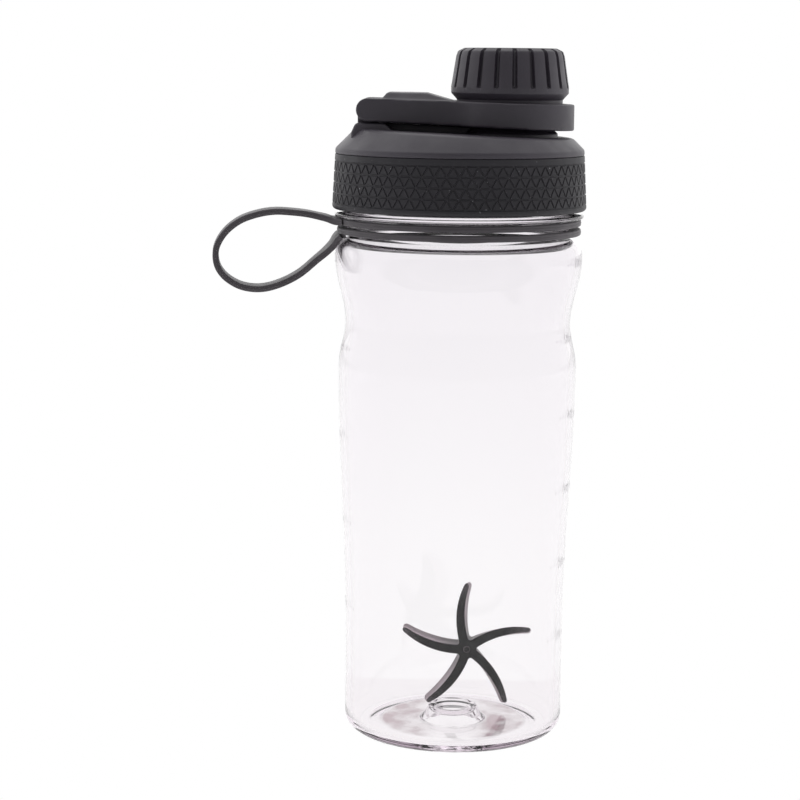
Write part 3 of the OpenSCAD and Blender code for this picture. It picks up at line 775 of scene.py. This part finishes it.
def prism(name, outline, width, bevel):
    """A side view in X and Z, extruded to a width along Y, with bevelled edges."""
    build = bmesh.new()
    front = [build.verts.new(Vector((x, -width / 2, z)) * MM) for x, z in outline]
    face = build.faces.new(front)
    pushed = bmesh.ops.extrude_face_region(build, geom=[face])
    moved = [v for v in pushed["geom"] if isinstance(v, bmesh.types.BMVert)]
    bmesh.ops.translate(build, verts=moved, vec=(0, width * MM, 0))
    bmesh.ops.recalc_face_normals(build, faces=build.faces)
    sharp = [e for e in build.edges if e.calc_face_angle(0) > math.radians(25)]
    bmesh.ops.bevel(build, geom=sharp, offset=bevel * MM, segments=3, affect="EDGES",
                    profile=0.5, clamp_overlap=True)
    return finished(name, build, 35)


def knuckle_outline():
    foot_z = PEDESTAL_Z - 1
    top = arc(HINGE_X, HINGE_Z, KNUCKLE_SKIN_R, 0, 180, 15)
    return top + [(HINGE_X - KNUCKLE_SKIN_R, foot_z), (HINGE_X + KNUCKLE_SKIN_R, foot_z)]


seat_outline = [(-35.0, 196.0), (-35.0, 199.2), (-33.6, PEDESTAL_Z),
                (-24.0, PEDESTAL_Z), (-20.6, 198.9), (-20.6, 196.0)]
rest_outline = [(-25.0, 197.0), (-25.0, 202.18), (3.4, 201.09), (3.4, 197.0)]
dress(prism("hinge_seat", seat_outline, ARM_W, bevel=0.9), SATIN, "lid", "lid")
dress(prism("arm_rest", rest_outline, REST_W, bevel=0.25), SATIN, "lid", "lid")
dress(prism("lid_knuckle", knuckle_outline(), BLOCK_W, bevel=0.35), SATIN, "lid", "lid")
lid_thread = thread("lid_thread", root_r=SKIRT_BORE_R + 0.15, crest_r=38.15, z_start=178.6, turns=1.6,
                    pitch=4.6, root_w=2.4, crest_w=1.1)
dress(lid_thread, SATIN, "lid", "lid")

# %% [markdown]
# ## The tether arm
# A bar from the hinge runs into a ring that holds the cap, with a low thumb rest on top. It is one moulding
# with edges broken to about half a millimetre. The solid already has the form, so a copy of it is given an
# even skin by a voxel Remesh and its corners are relaxed by a Smooth modifier. Bevelling would have to find
# every edge of the cut solid, and would fail where they run into the ring.

# %% Tether arm
def moulded_copy(node, name, voxel, passes):
    """A copy of a solid with an even skin and softened edges. The solid itself stays as it is."""
    build = bmesh.new()
    build.from_mesh(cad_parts[node].data)
    bmesh.ops.remove_doubles(build, verts=build.verts, dist=2e-6)
    piece = finished(name, build)
    even = piece.modifiers.new("even_skin", "REMESH")
    even.mode = "VOXEL"
    even.voxel_size = voxel * MM
    relax = piece.modifiers.new("soft_edges", "SMOOTH")
    relax.factor = 0.5
    relax.iterations = passes
    bpy.context.view_layer.update()
    mesh = bpy.data.meshes.new_from_object(piece.evaluated_get(bpy.context.evaluated_depsgraph_get()))
    piece.modifiers.clear()
    piece.data = mesh
    mesh.shade_smooth()
    return piece


arm = moulded_copy("tether_arm", "tether_arm", voxel=0.42, passes=4)
dress(arm, SATIN, "tether", "lid", "tether_arm")

# %% [markdown]
# ## The spout cap
# A screw cap with twenty finger grooves that stop short of its lower edge. It turns in the tether's ring on
# a plain collar. The grooves could be cut with twenty Booleans. Instead the cap is a turned skin whose radius
# drops where a groove passes, which gives clean, evenly rounded flutes and no stray edges.

# %% Spout cap
CAP_TOP_Z, CAP_RIM_Z, CAP_BORE_R, CAP_CEILING_Z = 226.5, 212.1, 16.0, 223.9
CAP_SIDE_TOP, CAP_SIDE_LOW = (17.55, 223.9), (19.1, 213.9)
COLLAR_R, CLIP_R, CAP_END_Z = 17.2, 17.9, 203.3
GROOVES, GROOVE_PHASE, GROOVE_HALF_W, GROOVE_DEPTH = 20, math.radians(3.4 - 90), 0.72, 1.5
GROOVE_LOW_Z, GROOVE_END, GROOVE_POINTS = 213.8, 1.0, 28


def groove_depth(angle, r, z):
    pitch = 2 * math.pi / GROOVES
    off = ((angle - GROOVE_PHASE + pitch / 2) % pitch - pitch / 2) * r
    across = max(0.0, 1 - (off / GROOVE_HALF_W) ** 4)
    along = max(0.0, min(1.0, (z - GROOVE_LOW_Z) / GROOVE_END))
    return GROOVE_DEPTH * math.sqrt(across * (1 - (1 - along) ** 2))


def cap_outline():
    """From the centre of the top down the outside, round the collar and its clip, and up the bore."""
    (top_r, top_z), (low_r, low_z) = CAP_SIDE_TOP, CAP_SIDE_LOW
    top = rounded([(0, CAP_TOP_Z, 0), (14.9, CAP_TOP_Z, 1.2), (17.0, 225.5, 1.2), (top_r, top_z, 0)])
    side = [(top_r + (low_r - top_r) * t, top_z + (low_z - top_z) * t) for t in [i / 14 for i in range(1, 13)]]
    low = [(19.02, 214.6), (19.06, 214.3), (low_r, 214.05), (low_r, 213.85)]
    rim = rounded([
        (low_r, 213.7, 0), (low_r, CAP_RIM_Z, 0.5), (COLLAR_R, 210.0, 0.5), (COLLAR_R, 205.7, 0),
        (CLIP_R, 205.4, 0.2), (CLIP_R, 204.7, 0.2), (COLLAR_R, 204.5, 0), (COLLAR_R, CAP_END_Z, 0.3),
        (CAP_BORE_R, CAP_END_Z, 0.3), (CAP_BORE_R, CAP_CEILING_Z, 0.8), (0, CAP_CEILING_Z, 0)])
    return top + side + low + rim


def cap_ring(r, z):
    if r < 1e-6:
        return [(SPOUT_X, 0, z)]
    segments = GROOVES * GROOVE_POINTS
    fade = max(0.0, min(1.0, (r - 15.2) / 1.4)) if z > CAP_SIDE_LOW[1] - 0.15 else 0.0
    ring = []
    for i in range(segments):
        angle = 2 * math.pi * i / segments + GROOVE_PHASE
        reach = r - fade * groove_depth(angle, r, z)
        ring.append((SPOUT_X + reach * math.cos(angle), reach * math.sin(angle), z))
    return ring


cap = skin("spout_cap", [cap_ring(r, z) for r, z in cap_outline()], crease=50)
dress(cap, SATIN, "cap", "lid", "spout_cap")
cap_thread = thread("cap_thread", root_r=CAP_BORE_R + 0.15, crest_r=15.4, z_start=213.0, turns=1.7, pitch=3.2,
                    root_w=1.9, crest_w=0.9, centre_x=SPOUT_X)
dress(cap_thread, SATIN, "cap", "lid")

# %% [markdown]
# ## Grip rubber
# The band is a soft elastomer: darker and duller than the lid, and a little tacky, so it picks up specks of
# dust. A second, paler material could be scattered over it. A Voronoi pattern does it in one: close to some
# of its cell centres the colour turns pale, and a slow noise keeps those specks rare.

# %% Material: grip elastomer
RUBBER_DARK, RUBBER_PALE, DUST = (0.0065, 0.0055, 0.0086), (0.0095, 0.0082, 0.0122), (0.32, 0.32, 0.34)


def grip_elastomer():
    material, tree, shader, _ = new_material("grip_elastomer")
    rubber = spread(tree, noise(tree, 60, 4), RUBBER_DARK, RUBBER_PALE)
    specks = add_node(tree, "TexVoronoi", Scale=620, Randomness=1)
    link(tree, (add_node(tree, "TexCoord").outputs["Object"], specks.inputs["Vector"]))
    dust = spread(tree, specks.outputs["Distance"], 0.55, 0.0, 0.05, 0.16)
    rare = spread(tree, noise(tree, 420, 1), 0.0, 1.0, 0.56, 0.66)
    dusty = between(tree, calculate(tree, "MULTIPLY", dust, rare), rubber, plain_colour(tree, DUST))
    link(tree, (dusty, shader.inputs["Base Color"]),
         (spread(tree, noise(tree, 200, 3), 0.5, 0.62), shader.inputs["Roughness"]))
    set_inputs(shader, IOR=1.47, Specular_IOR_Level=0.45)
    bump(tree, shader, noise(tree, 3800, 3), 0.00003, 0.6)
    return material


GRIP = grip_elastomer()
print("grip elastomer with dust specks")

# %% [markdown]
# ## The grip band
# The band is moulded over the skirt, with four rows of small raised triangles between two plain margins.
# Bump alone would leave the edge smooth, so the triangles are real: a sleeve, and on it a small truncated
# pyramid for each triangle, with a fine groove left all round it.

# %% Grip band
BAND_LOW_Z, BAND_TOP_Z, BAND_LOW_R, BAND_TOP_R, BAND_IN_R = 174.3, 192.2, 41.6, 40.65, 39.85
TRIANGLES_ROUND, TRIANGLE_ROWS, ROW_H, GROOVE_W, PLATE_H, PLATE_SLOPE = 66, 4, 3.42, 0.36, 0.26, 0.14
PATTERN_LOW_Z = BAND_TOP_Z - 2.2 - TRIANGLE_ROWS * ROW_H


def band_radius(z):
    return BAND_LOW_R + (BAND_TOP_R - BAND_LOW_R) * (z - BAND_LOW_Z) / (BAND_TOP_Z - BAND_LOW_Z)


def band_sleeve():
    pattern_top = PATTERN_LOW_Z + TRIANGLE_ROWS * ROW_H
    low, top = PATTERN_LOW_Z - GROOVE_W / 2, pattern_top + GROOVE_W / 2
    corners = [(BAND_IN_R, BAND_LOW_Z, 0), (BAND_LOW_R, BAND_LOW_Z, 1.2), (band_radius(low), low, 0.1),
               (band_radius(low) - PLATE_H, low + 0.15, 0.05), (band_radius(top) - PLATE_H, top - 0.15, 0.05),
               (band_radius(top), top, 0.1), (BAND_TOP_R, BAND_TOP_Z, 0.3), (BAND_IN_R, BAND_TOP_Z, 0)]
    return [circle(r, z, TRIANGLES_ROUND * 4) for r, z in rounded(corners)]


def add_plate(build, corners):
    """A truncated pyramid on the sleeve from three (arc, z) corners, drawn in by half a groove."""
    middle = sum((Vector(c) for c in corners), Vector((0, 0))) / 3
    rings = []
    for drawn_in, height in ((0.0, -0.05), (PLATE_SLOPE, PLATE_H)):
        ring = []
        for corner in corners:
            inward = middle - Vector(corner)
            reach = (GROOVE_W / 2 + drawn_in) * 2
            arc_at, z = Vector(corner) + inward.normalized() * reach
            r = band_radius(z) - PLATE_H + height
            angle = arc_at / BAND_LOW_R
            ring.append(build.verts.new(Vector((r * math.cos(angle), r * math.sin(angle), z)) * MM))
        rings.append(ring)
    low, high = rings
    build.faces.new(high)
    for k in range(3):
        build.faces.new([low[k], low[(k + 1) % 3], high[(k + 1) % 3], high[k]])


def band_plates():
    build = bmesh.new()
    side = 2 * math.pi * BAND_LOW_R / TRIANGLES_ROUND
    for row in range(TRIANGLE_ROWS):
        low = PATTERN_LOW_Z + row * ROW_H
        high = low + ROW_H
        shift = side / 2 * (row % 2)
        for k in range(TRIANGLES_ROUND):
            left = shift + k * side
            add_plate(build, [(left, low), (left + side, low), (left + side / 2, high)])
            add_plate(build, [(left + side / 2, high), (left + side, low), (left + side * 1.5, high)])
    bmesh.ops.recalc_face_normals(build, faces=build.faces)
    return finished("grip_triangles", build, 20)


band = skin("grip_band", band_sleeve(), closed=True)
dress(band, GRIP, "lid", "band", "grip_band")
plates = band_plates()
dress(plates, GRIP, "lid", "band")

# %% [markdown]
# ## Silicone
# The strap is charcoal silicone, and the seal and the cap's liner are the same stuff left pale. Silicone is
# matt and softly lit at its edges. Subsurface scattering could give that softness, but on something this
# dark a little sheen reads the same and costs far less noise.

# %% Material: matte silicone
STRAP_DARK, STRAP_PALE = (0.042, 0.037, 0.0425), (0.054, 0.048, 0.055)


def silicone(name, dark, pale, smooth, rough):
    material, tree, shader, _ = new_material(name)
    link(tree, (spread(tree, noise(tree, 70, 4), dark, pale), shader.inputs["Base Color"]),
         (spread(tree, noise(tree, 240, 3), smooth, rough), shader.inputs["Roughness"]))
    set_inputs(shader, IOR=1.42, Sheen_Weight=0.08, Sheen_Roughness=0.4)
    bump(tree, shader, noise(tree, 3000, 2), 0.00002, 0.4)
    return material


STRAP = silicone("strap_silicone", STRAP_DARK, STRAP_PALE, 0.5, 0.62)
print("strap silicone made")

# %% [markdown]
# ## The strap's rings
# The carry strap is one flat silicone moulding: two rings that lie stacked in the neck's groove and a loop
# that leaves them both. The mould's parting line runs round the middle of its edge as a fine ridge. A Torus
# with a scaled section could stand for a ring, but a turned outline holds the flat faces, the rounded corners
# and the ridge at their real sizes.

# %% Strap rings
STRAP_T, RING_IN_R, RING_OUT_R = 2.0, 36.6, 40.0
LOWER_RING_Z, UPPER_RING_Z = 166.45, 169.45
PARTING, STRAP_EDGE = 0.12, 0.45


def ring_outline(z):
    middle, top, side_r = z + STRAP_T / 2, z + STRAP_T, RING_OUT_R - PARTING
    return rounded([
        (RING_IN_R, z, 0.4), (RING_IN_R, z, 0), (side_r, z, STRAP_EDGE), (side_r, middle - PARTING, 0),
        (RING_OUT_R, middle, 0), (side_r, middle + PARTING, 0), (side_r, top, STRAP_EDGE),
        (RING_IN_R, top, 0.4), (RING_IN_R, middle, 0)])


for ring_name, ring_z, node in (("strap_ring_low", LOWER_RING_Z, "strap_lower_ring"),
                                ("strap_ring_high", UPPER_RING_Z, "strap_upper_ring")):
    strap_ring = spin(ring_name, ring_outline(ring_z), BODY_SEGMENTS, closed=True)
    dress(strap_ring, STRAP, "strap", "strap", node)

# %% [markdown]
# ## The strap's loop
# The loop is a rounded section swept along a smooth curve through a few chosen points. A Curve object with a
# bevel could do the sweep, but its section can't change. Here the section widens where it runs into the
# rings, and stops short of their outer edge so that nothing pokes through.

# %% Strap loop
STRAP_W, LOOP_REACH, FLARE_ROUND, LOOP_SPAN = 11.0, 39.5, 12.0, 7
LOOP_AZIMUTH = math.radians(186)
RING_PITCH = UPPER_RING_Z - LOWER_RING_Z
LOOP_SHAPE = [(0.152, 0.113), (0.253, 0.134), (0.38, 0.148), (0.519, 0.153), (0.658, 0.13), (0.797, 0.079),
              (0.911, -0.008), (0.982, -0.115), (1, -0.213), (0.977, -0.313), (0.906, -0.399), (0.785, -0.465),
              (0.633, -0.483), (0.476, -0.446), (0.314, -0.364), (0.168, -0.243)]
UPPER_END = [(-2.3, 0), (-1, 0), (1.2, 0.1), (3.4, 0.84)]
LOWER_END = [(3.8, -7.2), (1.44, -4.8), (0.16, -2.8), (-1.2, -1.5), (-2.3, -1.0)]


def smooth_route(points, span):
    """Catmull-Rom curve through the points."""
    route = []
    for i in range(len(points) - 1):
        a, b, c, d = (Vector(points[max(0, min(len(points) - 1, i + k))]) for k in (-1, 0, 1, 2))
        for step in range(span):
            t = step / span
            route.append(0.5 * (2 * b + (c - a) * t + (2 * a - 5 * b + 4 * c - d) * t * t
                                + (3 * b - a - 3 * c + d) * t ** 3))
    return route + [Vector(points[-1])]


def strap_section(width):
    """Section of the strap, (across, thick), with rounded corners and a ridge on both edges."""
    half_w, half_t = width / 2 - PARTING, STRAP_T / 2
    top = rounded([
        (0, half_t, 0), (half_w, half_t, STRAP_EDGE), (half_w, PARTING, 0), (half_w + PARTING, 0, 0)])
    right = [(x, y) for x, y in top] + [(x, -y) for x, y in reversed(top[:-1])]
    return right + [(-x, y) for x, y in reversed(right[1:-1])]


def flare(distance):
    """How far each side of the band spreads at this distance from the bottle's axis."""
    side = STRAP_W / 2 + FLARE_ROUND
    start = math.sqrt((RING_OUT_R + FLARE_ROUND) ** 2 - side ** 2)
    run = max(0.0, min(FLARE_ROUND, start - distance))
    within_ring = math.sqrt(max(0.0, (RING_OUT_R - 0.3) ** 2 - distance ** 2)) - STRAP_W / 2 - PARTING
    spread_out = FLARE_ROUND - math.sqrt(FLARE_ROUND ** 2 - run ** 2)
    return min(spread_out, within_ring) if distance < RING_OUT_R - 1 else spread_out


def strap_loop():
    points = [(x, z + RING_PITCH) for x, z in UPPER_END]
    points += [(LOOP_REACH * x, LOOP_REACH * z) for x, z in LOOP_SHAPE]
    route = smooth_route(points + LOWER_END, LOOP_SPAN)
    outward = Vector((math.cos(LOOP_AZIMUTH), math.sin(LOOP_AZIMUTH), 0))
    sideways = Vector((-math.sin(LOOP_AZIMUTH), math.cos(LOOP_AZIMUTH), 0))
    level = LOWER_RING_Z + STRAP_T / 2
    rings = []
    for i, here in enumerate(route):
        along = (route[min(i + 1, len(route) - 1)] - route[max(i - 1, 0)]).normalized()
        lift = Vector((-along.y, along.x))
        section = strap_section(STRAP_W + 2 * flare(RING_OUT_R + here.x))
        centre = outward * (RING_OUT_R + here.x) + Vector((0, 0, level + here.y))
        rings.append([centre + sideways * across + (outward * lift.x + Vector((0, 0, lift.y))) * thick
                      for across, thick in section])
    ends = [[sum(ring, Vector()) / len(ring)] for ring in (rings[0], rings[-1])]
    return skin("strap_loop", [ends[0]] + rings + [ends[1]], crease=50)


loop = strap_loop()
dress(loop, STRAP, "strap", "strap", "strap_loop")

# %% [markdown]
# ## Smoky plastic
# The mixing star is moulded from smoky translucent plastic. Its colour is painted light: the broad faces are
# painted nearly black, for the shade where the light has the whole depth of an arm to cross, and the rims and
# tips are painted paler, for the light that comes through the thinner plastic there. The turn of the surface
# and the distance from the hub drive this painted colour, because a real absorbing volume would need the path
# of each ray through five thin arms, at far more noise.

# %% Material: smoky plastic
STAR_HUB = Vector((4.6, 11.2, 24.0)) * MM
RIM_NEAR, RIM_FAR = (0.14, 0.115, 0.125), (0.66, 0.55, 0.60)
FACE_NEAR, FACE_FAR = (0.006, 0.0055, 0.006), (0.06, 0.053, 0.058)


def smoky_plastic():
    material, tree, shader, _ = new_material("smoky_plastic")
    place = add_node(tree, "TexCoord")
    apart = add_node(tree, "VectorMath")
    apart.operation = "DISTANCE"
    apart.inputs[1].default_value = STAR_HUB
    link(tree, (place.outputs["Object"], apart.inputs[0]))
    reach = apart.outputs["Value"]
    turned = calculate(tree, "ABSOLUTE", split(tree, place.outputs["Normal"])["Y"])
    flat = spread(tree, turned, 0.0, 1.0, 0.6, 0.9)
    rims = spread(tree, reach, RIM_NEAR, RIM_FAR, 0.004, 0.014)
    faces = spread(tree, reach, FACE_NEAR, FACE_FAR, 0.016, 0.023)
    # Painted light: near-black broad faces and paler rims and tips stand for light through thick and thin
    # plastic.
    link(tree, (between(tree, flat, rims, faces), shader.inputs["Base Color"]),
         (spread(tree, turned, 0.7, 0.05, 0.6, 0.9), shader.inputs["Transmission Weight"]),
         (spread(tree, noise(tree, 300, 3), 0.34, 0.46), shader.inputs["Roughness"]))
    set_inputs(shader, IOR=1.5, Specular_IOR_Level=0.05)
    bump(tree, shader, noise(tree, 900, 2), 0.00003, 0.4)
    return material


SMOKE = smoky_plastic()
print("smoky plastic, darkest on the faces that look front or back")

# %% [markdown]
# ## The mixing star
# A loose five-armed star that breaks up the powder. Its skin is a copy of the solid, softened like the
# tether's. The solid's arms keep their depth and end bluntly, and the real ones thin towards their tips.
# Sculpting would do it by eye. Instead, each point is slid along the twist of the arms and towards the middle
# line of its own arm, which thins the arms without leaving the solid.

# %% Mixing star
STAR_ARMS, STAR_R, STAR_BOW, STAR_DEPTH = 5, 23.0, 2.3, 6.5
STAR_TWIST = math.radians(8)
TIP_DEPTH_SHARE, TIP_WIDTH_SHARE, TAPER_START = 0.3, 0.66, 11.0
BOW_R = (STAR_R ** 2 / 4 + STAR_BOW ** 2) / (2 * STAR_BOW)


def arm_lean(distance):
    """Angle between an arm's tip and its middle line at this distance from the hub."""
    return math.asin(STAR_R / 2 / BOW_R) - math.asin(min(1.0, distance / 2 / BOW_R))


def taper_arms(mesh):
    """Thins the arms in depth and width towards their tips. Each point slides along the twist of the arms."""
    pitch = 2 * math.pi / STAR_ARMS
    front_y = STAR_HUB.y / MM - STAR_DEPTH / 2
    for v in mesh.vertices:
        x, y, z = v.co.x / MM - STAR_HUB.x / MM, v.co.y / MM - front_y, v.co.z / MM - STAR_HUB.z / MM
        distance = math.hypot(x, z)
        out = min(1.0, distance / STAR_R)
        thin = max(0.0, min(1.0, (distance - TAPER_START) / (STAR_R - TAPER_START)))
        depth = y * (1 - (1 - TIP_DEPTH_SHARE) * out) if y > 0 else y
        turn = math.atan2(-x, z) + STAR_TWIST * y / STAR_DEPTH
        aside = (turn - arm_lean(distance) + pitch / 2) % pitch - pitch / 2
        turn -= aside * (1 - TIP_WIDTH_SHARE) * thin ** 2
        turn -= STAR_TWIST * depth / STAR_DEPTH
        v.co = STAR_HUB + Vector((-distance * math.sin(turn), 0, distance * math.cos(turn))) * MM
        v.co.y = (front_y + depth) * MM


star = moulded_copy("mixer", "mixing_star", voxel=0.26, passes=3)
taper_arms(star.data)
print("star arms taper to", TIP_DEPTH_SHARE, "of their depth and", TIP_WIDTH_SHARE, "of their width")
dress(star, SMOKE, "mixer", "mixer", "mixer")

# %% [markdown]
# ## Seal, liner and pin
# Three plain parts keep their solids and only need a finish. The seal ring in the lid and the liner disc in
# the cap are pale silicone. The hinge pin is drawn steel wire, so its fine scratches run along its length:
# the noise is squeezed along the pin, where a brushed-metal image would need unwrapping.

# %% Seal, liner and pin
STEEL_DARK, STEEL_PALE, ALONG_PIN = (0.5, 0.5, 0.52), (0.66, 0.66, 0.68), (1, 0.04, 1)
PALE = silicone("pale_silicone", (0.56, 0.55, 0.56), (0.66, 0.65, 0.66), 0.42, 0.55)


def drawn_steel():
    material, tree, shader, _ = new_material("drawn_steel")
    stretch = add_node(tree, "Mapping", Scale=ALONG_PIN)
    texture = add_node(tree, "TexNoise", Scale=6000)
    scratches = texture.outputs["Fac"]
    link(tree, (add_node(tree, "TexCoord").outputs["Object"], stretch.inputs["Vector"]),
         (stretch.outputs["Vector"], texture.inputs["Vector"]),
         (spread(tree, scratches, STEEL_DARK, STEEL_PALE), shader.inputs["Base Color"]),
         (spread(tree, scratches, 0.24, 0.4), shader.inputs["Roughness"]))
    set_inputs(shader, Metallic=1.0)
    bump(tree, shader, scratches, 0.00001, 0.5)
    return material


STEEL = drawn_steel()
for node, material in (("lid_seal", PALE), ("cap_liner", PALE), ("hinge_pin", STEEL)):
    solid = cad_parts[node]
    for holder in solid.material_slots:
        holder.material = material
    print(node, "keeps its solid and gets", material.name)

# %% [markdown]
# ## Finish
# Last, the scene is brought up to date.

# %% Finish
bpy.context.view_layer.update()
